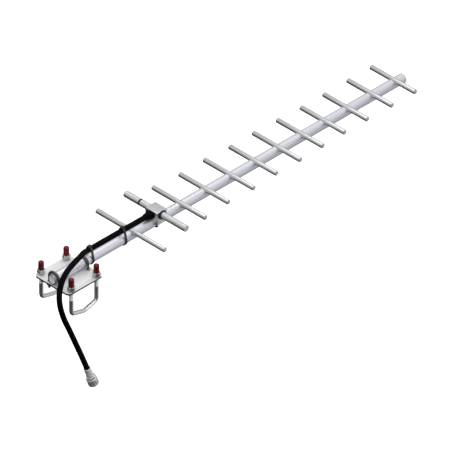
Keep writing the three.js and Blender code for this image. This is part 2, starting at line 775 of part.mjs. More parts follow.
["front", "rear"].forEach((end, i) => {
  const x = U_BOLT.fromPlateCentre[i];
  add(`boom_u_bolt_${end}`, uBolt(x), ZINC);
  for (const [side, y] of [["left", uLegY], ["right", -uLegY]]) {
    const bore = U_BOLT.radius + THREAD_GAP;
    const washerEnd = -TOUCH;
    const washerStart = washerEnd - U_WASHER.thickness;
    const nutTop = washerStart - TOUCH;
    const washer = ring(bore, U_WASHER.radius, washerStart, washerEnd, "z", 12);
    const nut = hexNut(U_NUT.across, bore, nutTop - U_NUT.height, nutTop);
    add(`boom_washer_${end}_${side}`, washer, ZINC).position.set(x, y, 0);
    add(`boom_nut_${end}_${side}`, nut, ZINC).position.set(x, y, 0);
  }
});

export default antenna;
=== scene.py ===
"""The looks of a yagi antenna: a boom with welded rods, a driven dipole, a coax pigtail and a mast plate."""

import json
import math

import bmesh
import bpy
from mathutils import Matrix, Vector


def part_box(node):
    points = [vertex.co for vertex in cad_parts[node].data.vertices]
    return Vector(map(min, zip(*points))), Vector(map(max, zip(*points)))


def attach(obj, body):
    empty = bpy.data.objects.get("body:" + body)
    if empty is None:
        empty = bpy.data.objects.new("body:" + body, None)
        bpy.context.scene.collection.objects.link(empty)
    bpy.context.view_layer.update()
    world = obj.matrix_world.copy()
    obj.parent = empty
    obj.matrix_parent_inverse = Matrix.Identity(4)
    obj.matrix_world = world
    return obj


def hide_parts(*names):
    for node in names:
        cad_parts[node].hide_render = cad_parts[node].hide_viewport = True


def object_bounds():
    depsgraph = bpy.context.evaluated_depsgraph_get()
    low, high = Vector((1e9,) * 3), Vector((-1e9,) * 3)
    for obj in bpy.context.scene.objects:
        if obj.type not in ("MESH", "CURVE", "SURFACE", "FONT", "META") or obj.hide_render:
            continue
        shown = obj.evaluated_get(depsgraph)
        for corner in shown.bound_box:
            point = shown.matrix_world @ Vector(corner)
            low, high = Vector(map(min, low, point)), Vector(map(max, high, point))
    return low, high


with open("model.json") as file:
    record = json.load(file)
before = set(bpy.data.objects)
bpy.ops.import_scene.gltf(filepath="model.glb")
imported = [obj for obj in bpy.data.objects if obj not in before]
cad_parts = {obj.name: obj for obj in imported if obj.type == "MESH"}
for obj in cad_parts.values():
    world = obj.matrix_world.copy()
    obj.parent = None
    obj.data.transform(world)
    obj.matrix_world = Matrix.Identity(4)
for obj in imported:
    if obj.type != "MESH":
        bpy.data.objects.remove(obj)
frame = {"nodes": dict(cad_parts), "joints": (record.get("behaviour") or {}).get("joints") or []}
cad_low, cad_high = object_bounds()

# ---- Camera ----
# A very long lens from far off, so that parallel edges stay parallel. It looks down on the antenna
# from behind and to the right of the mast plate.

sight = Vector((1, 1, -1)).normalized()
aim = Vector((0.38123, -0.00022, -0.0812))
picture_width = 0.78397
camera_data = bpy.data.cameras.new("camera")
camera_data.lens = 1400
camera_data.sensor_width = 36
camera_data.clip_start = 1
camera_data.clip_end = 60
camera = bpy.data.objects.new("camera", camera_data)
camera.location = aim - sight * (picture_width * camera_data.lens / camera_data.sensor_width)
camera.rotation_mode = "QUATERNION"
camera.rotation_quaternion = sight.to_track_quat("-Z", "Y")
bpy.context.scene.collection.objects.link(camera)
bpy.context.scene.camera = camera

# ---- Coax pigtail ----
# A stiff 10.3 mm low-loss coax in a smooth black jacket. It leaves the feed block's boot, lies along
# the boom under two ties, bends off over the plate's rear edge and hangs to its connector.

MM = 0.001
coax_radius = 5.15
coax_route = [
    (199.9, 0, 32.5),
    (161.8, 0, 32.5),
    (129.8, 0, 32.5),
    (91.8, 0, 32.5),
    (66.8, 0, 32.5),
    (48, 0, 32.5),
    (34.2, -2.4, 34.5),
    (21.8, -7.1, 35.7),
    (-3.2, -14.4, 35.8),
    (-22.7, -19.1, 31.8),
    (-37.9, -23.6, 24.2),
    (-48.6, -28.2, 13.6),
    (-55.2, -32.6, 0.7),
    (-57.8, -37.4, -15.8),
    (-54.8, -43.2, -39.6),
    (-46.6, -48.2, -65.5),
    (-36.2, -52.1, -95.7),
    (-25.5, -56.3, -127.2),
    (-14.3, -60.4, -161.5),
    (-12.4, -61.1, -167.2),
]


class Value:
    """A shader socket in an expression: + - and * on it add Math nodes."""

    def __init__(self, finish, socket):
        self.finish = finish
        self.socket = socket

    def maths(self, operation, first, second):
        return self.finish.node("ShaderNodeMath", {"operation": operation}, {0: first, 1: second})

    def __add__(self, other):
        return self.maths("ADD", self, other)

    def __radd__(self, other):
        return self.maths("ADD", other, self)

    def __sub__(self, other):
        return self.maths("SUBTRACT", self, other)

    def __rsub__(self, other):
        return self.maths("SUBTRACT", other, self)

    def __mul__(self, other):
        return self.maths("MULTIPLY", self, other)

    def __rmul__(self, other):
        return self.maths("MULTIPLY", other, self)


class Finish:
    """A material, or a world, under construction: its node() adds any node, and its surface takes
    the results."""

    def __init__(self, name, world=None, **constants):
        self.material = world or bpy.data.materials.new(name)
        self.material.use_nodes = True
        self.tree = self.material.node_tree
        self.surface = self.tree.nodes["Background" if world else "Principled BSDF"]
        for socket, value in constants.items():
            self.surface.inputs[socket.replace("_", " ")].default_value = value

    def node(self, kind, settings, inputs, output=0):
        made = self.tree.nodes.new(kind)
        for setting, value in settings.items():
            setattr(made, setting, value)
        for socket, value in inputs.items():
            if isinstance(value, Value):
                self.tree.links.new(value.socket, made.inputs[socket])
            else:
                made.inputs[socket].default_value = value
        return Value(self, made.outputs[output])

    def place(self, stretch=(1, 1, 1)):
        """The point on the piece, in metres, stretched along each axis."""
        point = self.node("ShaderNodeTexCoord", {}, {}, "Object")
        return self.node("ShaderNodeMapping", {}, {"Vector": point, "Scale": stretch})

    def noise(self, point, scale, detail=3.0, roughness=0.55):
        inputs = {"Vector": point, "Scale": scale, "Detail": detail, "Roughness": roughness}
        return self.node("ShaderNodeTexNoise", {}, inputs)

    def blend(self, share, colour_a, colour_b):
        settings = {"data_type": "RGBA", "blend_type": "MIX"}
        inputs = {"Factor": share, 6: (*colour_a, 1), 7: (*colour_b, 1)}
        return self.node("ShaderNodeMix", settings, inputs, 2)

    def drive(self, **sockets):
        for socket, value in sockets.items():
            self.tree.links.new(value.socket, self.surface.inputs[socket.replace("_", " ")])

    def relief(self, height, strength, depth):
        inputs = {"Height": height, "Strength": strength, "Distance": depth}
        self.drive(Normal=self.node("ShaderNodeBump", {}, inputs))


def black_pvc():
    """Extruded cable jacket: near black and all but matt, with a faint waviness and dusty patches."""
    pvc = Finish("black_pvc", Specular_IOR_Level=0.04)
    dust = pvc.noise(pvc.place(), 90, 4)
    grain = pvc.noise(pvc.place(), 2600, 2)
    pvc.drive(Base_Color=pvc.blend(dust, (0.0006, 0.0006, 0.0008), (0.0022, 0.0022, 0.0026)))
    pvc.drive(Roughness=0.34 + 0.16 * dust)
    pvc.relief(grain + 0.8 * dust, 0.25, 0.0001)
    return pvc.material


def soften(mesh, sharp_degrees=32):
    """Smooth shading, but for the edges that are sharper than an angle."""
    mesh.shade_smooth()
    mesh.set_sharp_from_angle(angle=math.radians(sharp_degrees))


def mesh_piece(name, points, faces, material, sharp_degrees=32):
    """A mesh object of given points in metres, smooth but for its sharp edges."""
    mesh = bpy.data.meshes.new(name)
    mesh.from_pydata(points, [], faces)
    soften(mesh, sharp_degrees)
    mesh.materials.append(material)
    piece = bpy.data.objects.new(name, mesh)
    bpy.context.scene.collection.objects.link(piece)
    return piece


def fit(piece, body, slot, *nodes):
    """The piece moves with a body and stands for CAD nodes. Its slot is not used."""
    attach(piece, body)
    if nodes:
        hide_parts(*nodes)
    return piece


def through(points, step):
    """A smooth curve through the points, as evenly spaced points: centripetal Catmull-Rom."""
    samples = 24
    knots = [points[0] * 2 - points[1], *points, points[-1] * 2 - points[-2]]
    dense = [points[0]]
    for a, b, c, d in zip(knots, knots[1:], knots[2:], knots[3:]):
        ab, bc, cd = (math.sqrt((q - p).length) for p, q in ((a, b), (b, c), (c, d)))
        leave = ((b - a) / ab - (c - a) / (ab + bc) + (c - b) / bc) * bc
        arrive = ((c - b) / bc - (d - b) / (bc + cd) + (d - c) / cd) * bc
        for i in range(1, samples + 1):
            t = i / samples
            start = b * (2 * t**3 - 3 * t**2 + 1) + leave * (t**3 - 2 * t**2 + t)
            dense.append(start + c * (3 * t**2 - 2 * t**3) + arrive * (t**3 - t**2))
    return evenly(dense, step)


def evenly(points, step):
    """Points along a polyline, about one step apart."""
    total = sum((q - p).length for p, q in zip(points, points[1:]))
    count = max(1, round(total / step))
    gap = total / count
    out = [points[0]]
    due = gap
    walked = 0
    for p, q in zip(points, points[1:]):
        length = (q - p).length
        while length > 0 and walked + length >= due - 1e-9 and len(out) < count:
            out.append(p.lerp(q, (due - walked) / length))
            due += gap
        walked += length
    out.append(points[-1])
    return out


def swept(points, radius, sides):
    """A tube along points, as mesh points and faces. radius may be a function of a point's number
    and the angle round the tube."""
    tangents = []
    for i, here in enumerate(points):
        ahead = points[min(i + 1, len(points) - 1)]
        behind = points[max(i - 1, 0)]
        tangents.append((ahead - here).normalized() + (here - behind).normalized())
    across = tangents[0].orthogonal().normalized()
    verts = []
    for i, (here, tangent) in enumerate(zip(points, tangents)):
        tangent = tangent.normalized()
        across = (across - tangent * across.dot(tangent)).normalized()
        side = tangent.cross(across)
        for k in range(sides):
            angle = 2 * math.pi * k / sides
            reach = radius(i, angle) if callable(radius) else radius
            verts.append(here + (across * math.cos(angle) + side * math.sin(angle)) * reach)
    faces = []
    for i in range(len(points) - 1):
        for k in range(sides):
            near = i * sides + k
            next_k = i * sides + (k + 1) % sides
            faces.append((near, next_k, next_k + sides, near + sides))
    faces.append(tuple(reversed(range(sides))))
    faces.append(tuple(range((len(points) - 1) * sides, len(points) * sides)))
    return verts, faces


coax_line = through([Vector(point) * MM for point in coax_route], 4 * MM)
coax_mesh = swept(coax_line, coax_radius * MM, 32)
jacket = black_pvc()
coax = fit(mesh_piece("coax_pigtail", *coax_mesh, jacket), "antenna", "black_pvc", "coax_cable")
coax.visible_shadow = False
coax.visible_glossy = False

# ---- Connector on the pigtail ----
# A nickel-plated brass screw-on coax plug: a crimped ferrule, a body with wrench flats, and a
# fluted coupling nut that turns freely on it. Inside are a contact sleeve, an insulator and a pin.

plug_joint = next(joint for joint in frame["joints"] if joint["name"] == "coupling_nut_turn")
plug_origin = Vector(plug_joint["pos_m"])
plug_axis = Vector(plug_joint["axis"]).normalized()


def nickel_plate(name, dark, light, metallic):
    """Nickel with a slight warm tint, fine polishing marks and slightly duller patches."""
    nickel = Finish(name, Metallic=metallic)
    patches = nickel.noise(nickel.place(), 160, 4)
    polish = nickel.noise(nickel.place((1, 1, 9)), 900, 2)
    nickel.drive(Base_Color=nickel.blend(patches, dark, light))
    nickel.drive(Roughness=0.2 + 0.16 * patches)
    nickel.relief(polish, 0.12, 0.00005)
    return nickel.material


def plain_plastic(name, light, dark, roughness):
    """A moulded plastic: two close shades, a fine grain and an even sheen."""
    plastic = Finish(name, IOR=1.48)
    clouds = plastic.noise(plastic.place(), 220, 3)
    grain = plastic.noise(plastic.place(), 3200, 2)
    plastic.drive(Base_Color=plastic.blend(clouds, dark, light))
    plastic.drive(Roughness=roughness - 0.06 + 0.12 * clouds)
    plastic.relief(grain, 0.3, 0.00008)
    return plastic.material


def gold_plate():
    """Thin gold over brass, worn a little paler in patches."""
    gold = Finish("gold_plate", Metallic=1.0)
    wear = gold.noise(gold.place(), 600, 4)
    gold.drive(Base_Color=gold.blend(wear, (0.83, 0.55, 0.18), (0.90, 0.72, 0.40)))
    gold.drive(Roughness=0.18 + 0.18 * wear)
    return gold.material


def turned(profile, segments, origin, axis):
    """A turned piece, as mesh points and faces. Profile points are (radius, place along the axis)
    in millimetres, or functions of the angle that give them. It closes on the axis or on itself."""
    turn = Vector((0, 0, 1)).rotation_difference(axis)
    verts, rows = [], []
    for point in profile:
        row = []
        for i in range(segments):
            angle = 2 * math.pi * i / segments
            radius, along = point(angle) if callable(point) else point
            if radius == 0 and row:
                row.append(row[0])
                continue
            spot = Vector((radius * math.cos(angle), radius * math.sin(angle), along)) * MM
            row.append(len(verts))
            verts.append(origin + turn @ spot)
        rows.append(row)
    if len(set(rows[0])) > 1:
        rows.append(rows[0])
    faces = []
    for low, high in zip(rows, rows[1:]):
        for i in range(segments):
            k = (i + 1) % segments
            corners = [low[i], low[k], high[k], high[i]]
            faces.append(tuple(dict.fromkeys(corners)))
    return verts, [face for face in faces if len(face) > 2]


def hexagon(across, along, chamfer=0.0):
    """A profile point round a hexagon, with its corners cut back along the axis."""

    def point(angle):
        to_flat = (angle + math.pi / 2) % (math.pi / 3) - math.pi / 6
        radius = across / 2 / math.cos(to_flat)
        return radius, along + chamfer * max(0, radius - across / 2 * 1.01)

    return point


def plug_piece(name, profile, material, segments=64):
    """A turned piece on the connector's axis."""
    return mesh_piece(name, *turned(profile, segments, plug_origin, plug_axis), material)


def thread(radius, start, end, pitch, depth):
    """Profile points of a run of thread-like grooves, from start to end."""
    turns = max(1, int(abs(end - start) / pitch))
    step = (end - start) / turns
    points = []
    for k in range(turns):
        points.append((radius, start + step * k))
        points.append((radius + depth, start + step * (k + 0.5)))
    points.append((radius, end))
    return points


ferrule_radius = 6.65
ferrule_bore = 5.5
jacket_in_ferrule = 12
ferrule_end = 7
crimp_depth = 0.45
body_flats = 16
body_face = body_flats / 2 * 0.97
nut_radius = 9.9
nut_start = 11.6
nut_end = 27

nickel = nickel_plate("nickel_plate", (0.60, 0.59, 0.57), (0.76, 0.75, 0.72), 0.7)
pale_nickel = nickel_plate("pale_nickel", (0.76, 0.76, 0.75), (0.88, 0.88, 0.87), 0.3)
white_plastic = plain_plastic("white_plastic", (0.72, 0.72, 0.71), (0.62, 0.62, 0.61), 0.42)
black_rubber = plain_plastic("black_rubber", (0.03, 0.03, 0.03), (0.018, 0.018, 0.018), 0.75)
gold = gold_plate()


def crimped(along, depth):
    """A ferrule's outline where the crimp tool has pressed it to a soft hexagon."""

    def point(angle):
        return ferrule_radius - depth * (0.5 + 0.5 * math.cos(6 * angle)), along

    return point


ferrule_profile = [
    (ferrule_bore, -jacket_in_ferrule),
    (ferrule_radius - 0.3, -jacket_in_ferrule),
    (ferrule_radius, -jacket_in_ferrule + 0.3),
    (ferrule_radius, -jacket_in_ferrule + 2),
    crimped(-jacket_in_ferrule + 2.8, crimp_depth),
    crimped(2.6, crimp_depth),
    (ferrule_radius, 3.6),
    (ferrule_radius, ferrule_end - 0.2),
    (ferrule_radius - 0.2, ferrule_end),
    (ferrule_bore, ferrule_end),
]
ferrule = plug_piece("plug_ferrule", ferrule_profile, pale_nickel)
fit(ferrule, "antenna", "nickel", "connector_ferrule")

body_profile = [
    (0, 0.3),
    (5.15, 0.3),
    (5.15, 7.3),
    (body_face, 7.3),
    hexagon(body_flats, 7.5, 0.55),
    hexagon(body_flats, 11.1, -0.55),
    (body_face, 11.3),
    (6.7, 11.3),
    (6.7, 14.8),
    (7.3, 14.8),
    (7.6, 15.1),
    (7.6, 16.7),
    (7.3, 17),
    (4.6, 17),
    (4.6, 23.8),
    (4.35, 24.2),
    (3.9, 24.2),
    (3.7, 24),
    (3.7, 9.7),
    (1.8, 9.7),
    (1.8, 7.35),
    (0, 7.35),
]
plug_body = plug_piece("plug_body", body_profile, nickel, 72)
fit(plug_body, "antenna", "nickel", "connector_body")

insulator_profile = [(1.8, 10), (3.2, 10), (3.4, 10.2), (3.4, 15.8), (3.2, 16), (1.8, 16)]
plug_insulator = plug_piece("plug_insulator", insulator_profile, white_plastic)
fit(plug_insulator, "antenna", "white_plastic", "connector_insulator")

pin_profile = [(0, 7.6), (1.5, 7.6), (1.5, 18.3), (1.35, 18.5), (0.8, 19.2)]
pin_profile += [(0.8, 22.1), (0.6, 22.8), (0.3, 23.15), (0, 23.2)]
plug_pin = plug_piece("plug_pin", pin_profile, gold, 32)
fit(plug_pin, "antenna", "gold_plate", "connector_pin")

gasket_profile = [(4.9, 17.5), (5.1, 17.3), (7.1, 17.3), (7.3, 17.5), (7.3, 18.5)]
gasket_profile += [(7.1, 18.7), (5.1, 18.7), (4.9, 18.5)]
plug_gasket = plug_piece("plug_gasket", gasket_profile, black_rubber, 48)
fit(plug_gasket, "antenna", "black_rubber", "connector_gasket")


flutes = 12
flute_depth = 1.0


def fluted(along, depth):
    """The coupling nut's grip: rounded flutes all round."""

    def point(angle):
        wave = 0.5 + 0.5 * math.cos(flutes * angle)
        return nut_radius - depth * wave**2, along

    return point


nut_profile = [
    (7.0, nut_start),
    (nut_radius - 1.6, nut_start),
    (nut_radius - 0.9, nut_start + 0.35),
    (nut_radius - 0.2, nut_start + 1.1),
    (nut_radius, nut_start + 1.6),
    (nut_radius, nut_start + 3.2),
    (nut_radius - 0.5, nut_start + 3.4),
    (nut_radius - 0.5, nut_start + 4.1),
    fluted(nut_start + 4.3, 0.0),
    fluted(nut_start + 4.9, flute_depth),
    fluted(nut_end - 2.6, flute_depth),
    fluted(nut_end - 2.0, 0.0),
    (nut_radius, nut_end - 0.7),
    (nut_radius - 0.7, nut_end),
    (8.4, nut_end),
    *thread(7.95, nut_end - 0.6, 19.2, 1.06, 0.45),
    (7.95, 14.2),
    (7.0, 14.2),
]
plug_nut = plug_piece("plug_coupling_nut", nut_profile, nickel, 192)
fit(plug_nut, "connector_coupling", "nickel", "coupling_nut")

# ---- Boom ----
# A 19 mm drawn aluminium tube, open at its rear end, with half-round notches milled across its top
# for the rods and a hole for the feed block's screw.

ROD_NODES = ["reflector_rod", *(f"director_rod_{i}" for i in range(1, 11))]
X_AXIS = Vector((1, 0, 0))
Y_AXIS = Vector((0, 1, 0))
Z_AXIS = Vector((0, 0, 1))


def drawn_aluminium(name, light, dark, stretch, roughness, **constants):
    """Drawn aluminium: fine lines along the draw, soft smudges and a satin gloss."""
    metal = Finish(name, **constants)
    lines = metal.noise(metal.place(stretch), 1.0, 3, 0.6)
    smudges = metal.noise(metal.place(), 38, 5)
    metal.drive(Base_Color=metal.blend(0.6 * smudges + 0.4 * lines, dark, light))
    metal.drive(Roughness=roughness + 0.10 * smudges + 0.10 * lines)
    metal.relief(lines, 0.10, 0.00008)
    return metal.material


def middle(node):
    """The middle of a CAD node's box, in metres."""
    low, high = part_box(node)
    return (low + high) / 2


def half_size(node, axis):
    """Half of a CAD node's size along an axis, in millimetres."""
    low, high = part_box(node)
    return (high[axis] - low[axis]) / 2 / MM


def span(node, axis):
    """A CAD node's two ends along an axis, in millimetres."""
    return [corner[axis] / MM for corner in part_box(node)]


def drilled(radius, start, end, place, axis, segments=48):
    """What a drill takes out, from start to end along an axis through a place."""
    profile = [(0, start), (radius, start), (radius, end), (0, end)]
    return turned(profile, segments, place, axis)


def cut_away(piece, cutters):
    """Cuts closed meshes, given as points and faces, out of a piece."""
    verts, faces = [], []
    for cutter_verts, cutter_faces in cutters:
        start = len(verts)
        verts += cutter_verts
        faces += [tuple(start + i for i in face) for face in cutter_faces]
    tool = mesh_piece("cutter", verts, faces, piece.data.materials[0])
    cut = piece.modifiers.new("cut", "BOOLEAN")
    cut.operation = "DIFFERENCE"
    cut.solver = "EXACT"
    cut.object = tool
    cut.use_self = True
    depsgraph = bpy.context.evaluated_depsgraph_get()
    mesh = bpy.data.meshes.new_from_object(piece.evaluated_get(depsgraph))
    piece.modifiers.clear()
    piece.data = mesh
    soften(mesh)
    bpy.data.objects.remove(tool)


drawn_along_x = (6, 700, 700)
drawn_along_y = (700, 6, 700)
boom_metal = drawn_aluminium(
    "boom_aluminium", (0.77, 0.77, 0.82), (0.69, 0.69, 0.74), drawn_along_x, 0.3, Metallic=0.75
)
boom_wall = 2
boom_radius = half_size("boom_tube", 1)
boom_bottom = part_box("boom_tube")[0].z
boom_axis = Vector((0, 0, boom_bottom + boom_radius * MM))
tube_start, tube_end = span("boom_tube", 0)
bore = boom_radius - boom_wall
tube_profile = [
    (bore, tube_start + 0.5),
    (bore + 0.4, tube_start),
    (boom_radius - 0.4, tube_start),
    (boom_radius, tube_start + 0.4),
    (boom_radius, tube_end - 0.3),
    (boom_radius - 0.3, tube_end),
    (bore, tube_end),
]
boom = mesh_piece("boom", *turned(tube_profile, 96, boom_axis, X_AXIS), boom_metal)
rod_radius = half_size("reflector_rod", 0)
notch_radius = rod_radius + 0.25
screw_hole = 2.8
cut_reach = 14
cuts = [drilled(notch_radius, -cut_reach, cut_reach, middle(node), Y_AXIS) for node in ROD_NODES]
screw_place = Vector((middle("feed_block_screw").x, 0, boom_axis.z))
cuts.append(drilled(screw_hole, -cut_reach, cut_reach, screw_place, Z_AXIS, 32))
cut_away(boom, cuts)


def painted_shade_edge():
    """Cut ends and sides: a near-black copy of the metal as painted shade, with fine streaks."""
    edge = Finish("painted_shade_edge", Metallic=0.8)
    streaks = edge.noise(edge.place((900, 900, 40)), 1.0, 2)
    edge.drive(Base_Color=edge.blend(streaks, (0.12, 0.12, 0.125), (0.24, 0.24, 0.245)))
    edge.drive(Roughness=0.4 + 0.2 * streaks)
    edge.relief(streaks, 0.3, 0.0001)
    return edge.material


# A near-black metal that paints shade on faces turned away from the light.
shaded_cut_metal = painted_shade_edge()
# The bore has a faint glow of its own, which keeps its inside pale.
bore_metal = drawn_aluminium(
    "boom_bore",
    (0.74, 0.74, 0.78),
    (0.64, 0.64, 0.68),
    drawn_along_x,
    0.5,
    Emission_Color=(0.9, 0.9, 0.94, 1),
    Emission_Strength=0.12,
)
boom.data.materials.append(shaded_cut_metal)
boom.data.materials.append(bore_metal)
# Faces turned to -X, the tube's rear end, take the dark edge metal as painted shade; the bore takes its
# glowing finish.
for facet in boom.data.polygons:
    from_axis = (facet.center - boom_axis).cross(X_AXIS).length / MM
    if facet.normal.x < -0.5:
        facet.material_index = 1
    elif from_axis < bore + 0.3:
        facet.material_index = 2
fit(boom, "antenna", "boom_aluminium", "boom_tube")

# ---- Boom end plug ----
# A pale moulded plug pressed into the tip, with a slightly domed face and a rounded rim.

back, face = span("boom_end_plug", 0)
rim = tube_end + 0.3
rim_round = 0.9
end_plug_profile = [
    (0, back + 1.5),
    (bore - 2, back + 1.5),
    (bore - 2, back),
    (bore - 1.1, back),
    (bore - 0.3, back + 1.5),
    (bore - 0.3, rim),
    (boom_radius - 0.3, rim),
    (boom_radius, rim + 0.3),
    (boom_radius, face - rim_round),
]
for k in range(1, 6):
    turn = k * math.pi / 12
    out = boom_radius - rim_round + rim_round * math.cos(turn)
    end_plug_profile.append((out, face - rim_round + 0.8 * math.sin(turn)))
end_plug_profile += [(boom_radius * 0.5, face - 0.04), (0, face)]
end_plug = mesh_piece("end_plug", *turned(end_plug_profile, 72, boom_axis, X_AXIS), white_plastic)
fit(end_plug, "antenna", "white_plastic", "boom_end_plug")

# ---- Reflector and directors ----
# Solid 9.5 mm aluminium rods, cut to length with broken edges, laid in the boom's notches and
# welded round their seats with a thin bead.

rod_metal = drawn_aluminium(
    "rod_aluminium", (0.66, 0.67, 0.66), (0.56, 0.57, 0.56), drawn_along_y, 0.28, Metallic=0.9
)


def weld_metal():
    """A small aluminium weld bead: rippled, a little duller than the tube."""
    weld = Finish("weld_bead", Metallic=0.6)
    mottle = weld.noise(weld.place(), 500, 4)
    weld.drive(Base_Color=weld.blend(mottle, (0.50, 0.50, 0.51), (0.70, 0.70, 0.72)))
    weld.drive(Roughness=0.35 + 0.25 * mottle)
    weld.relief(weld.noise(weld.place(), 1600, 3), 0.4, 0.0002)
    return weld.material


def rod_profile(half, radius, edge):
    """A solid rod's outline, with a broken edge at each end."""
    return [
        (0, -half),
        (radius - edge, -half),
        (radius - edge * 0.3, -half + edge * 0.3),
        (radius, -half + edge),
        (radius, half - edge),
        (radius - edge * 0.3, half - edge * 0.3),
        (radius - edge, half),
        (0, half),
    ]


def bead_loop(centre):
    """The closed seam where a rod meets the boom's round top."""
    steps = 24
    sunk = 0.15
    rise = centre.z / MM - boom_axis.z / MM
    half_turn = math.acos((boom_radius - sunk - rise) / rod_radius)
    loop = []
    for side in (1, -1):
        for k in range(steps):
            share = (k + 0.5) / steps
            turn = half_turn + (2 * math.pi - 2 * half_turn) * (share if side > 0 else 1 - share)
            x = rod_radius * math.sin(turn)
            z = rise + rod_radius * math.cos(turn)
            y = side * math.sqrt(max(boom_radius**2 - z**2, 0))
            loop.append(Vector((centre.x + x * MM, y * MM, boom_axis.z + z * MM)))
    return loop


def bead(centre):
    """A weld bead round the seam, with the ripples of its laid drops."""
    loop = bead_loop(centre)
    loop.append(loop[0])
    line = evenly(loop, 0.8 * MM)

    def radius(i, angle):
        return (0.62 + 0.1 * math.sin(2.1 * i) + 0.05 * math.sin(0.9 * i + 3 * angle)) * MM

    return swept(line, radius, 10)


weld = weld_metal()
rod_edge = 0.55
for node in ROD_NODES:
    name = node.replace("_rod", "")
    profile = rod_profile(half_size(node, 1), rod_radius, rod_edge)
    rod = mesh_piece(name, *turned(profile, 64, middle(node), Y_AXIS), rod_metal)
    fit(rod, "antenna", "rod_aluminium", node)
    seam = mesh_piece(f"{name}_weld", *bead(middle(node)), weld, 60)
    fit(seam, "antenna", "rod_aluminium")

# ---- Driven element ----
# Two 12.7 mm tubes in line through the feed block. The fed one is held off the block by a bush,
# the grounded one carries an adjustable tip with a dark red ring at its joint.

driven_metal = drawn_aluminium(
    "driven_aluminium", (0.72, 0.73, 0.72), (0.62, 0.63, 0.62), drawn_along_y, 0.28, Metallic=0.9
)
red_nylon = plain_plastic("red_nylon", (0.14, 0.012, 0.022), (0.07, 0.006, 0.012), 0.45)
feed_place = Vector((middle("driven_half_fed").x, 0, middle("driven_half_fed").z))
driven_radius = 6.35
spigot_radius = 3.2
tip_spigot = 4
sleeve_bore = 4.3
piece_gap = 0.3
fed_low, fed_high = span("driven_half_fed", 1)
bush_low, bush_end = span("feed_bush", 1)
inner_end, outer_end = span("driven_half_grounded", 1)
ring_low, ring_high = span("driven_tuning_ring", 1)
tip_high = span("driven_tip", 1)[1]
block_low, block_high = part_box("feed_block")
block_side = block_high.y / MM


def broken(radius, along, way, edge=0.6):
    """The two profile points of a broken edge at a tube's outer end."""
    return [(radius - edge, along), (radius, along + way * edge)]


fed_profile = [
    (0, fed_low),
    *broken(driven_radius, fed_low, 1),
    (driven_radius, bush_low - 0.6),
    (driven_radius - 0.3, bush_low - piece_gap),
    (spigot_radius, bush_low - piece_gap),
    (spigot_radius, fed_high),
    (0, fed_high),
]
fed = mesh_piece("driven_fed_arm", *turned(fed_profile, 64, feed_place, Y_AXIS), driven_metal)
fit(fed, "antenna", "rod_aluminium", "driven_half_fed")

grounded_profile = [
    (0, inner_end),
    (spigot_radius, inner_end),
    (spigot_radius, block_side + piece_gap),
    (driven_radius - 0.3, block_side + piece_gap),
    (driven_radius, block_side + 0.6),
    (driven_radius, ring_low - 0.5),
    (driven_radius - 0.2, ring_low - piece_gap),
    (tip_spigot, ring_low - piece_gap),
    (tip_spigot, outer_end),
    (0, outer_end),
]
grounded_mesh = turned(grounded_profile, 64, feed_place, Y_AXIS)
grounded = mesh_piece("driven_grounded_arm", *grounded_mesh, driven_metal)
fit(grounded, "antenna", "rod_aluminium", "driven_half_grounded")

tip_profile = [
    (0, outer_end + 1),
    (sleeve_bore, outer_end + 1),
    (sleeve_bore, ring_high + piece_gap),
    (driven_radius - 0.2, ring_high + piece_gap),
    (driven_radius, ring_high + 0.5),
    *reversed(broken(driven_radius, tip_high, -1)),
    (0, tip_high),
]
tip = mesh_piece("driven_tip_tube", *turned(tip_profile, 64, feed_place, Y_AXIS), driven_metal)
fit(tip, "antenna", "rod_aluminium", "driven_tip")

ring_profile = [
    (sleeve_bore, ring_low),
    (driven_radius - 0.1, ring_low),
    (driven_radius + 0.15, ring_low + 0.3),
    (driven_radius + 0.15, ring_high - 0.3),
    (driven_radius - 0.1, ring_high),
    (sleeve_bore, ring_high),
]
tuning_ring = mesh_piece("tuning_ring", *turned(ring_profile, 64, feed_place, Y_AXIS), red_nylon)
fit(tuning_ring, "antenna", "red_nylon", "driven_tuning_ring")

# ---- Feed block ----
# A machined aluminium block that straddles the boom. It is bored across for the dipole halves and
# from the rear for the coax, its edges are broken, and a screw through the boom holds it down.


def milled_aluminium():
    """Milled block: fine cutter lines across, a smooth grey sheen."""
    milled = Finish("block_aluminium", Metallic=1.0)
    cutter = milled.noise(milled.place((900, 30, 30)), 1.0, 2)
    clouds = milled.noise(milled.place(), 120, 4)
    milled.drive(Base_Color=milled.blend(clouds, (0.58, 0.58, 0.60), (0.70, 0.70, 0.72)))
    milled.drive(Roughness=0.2 + 0.1 * clouds + 0.06 * cutter)
    milled.relief(cutter, 0.2, 0.0001)
    return milled.material


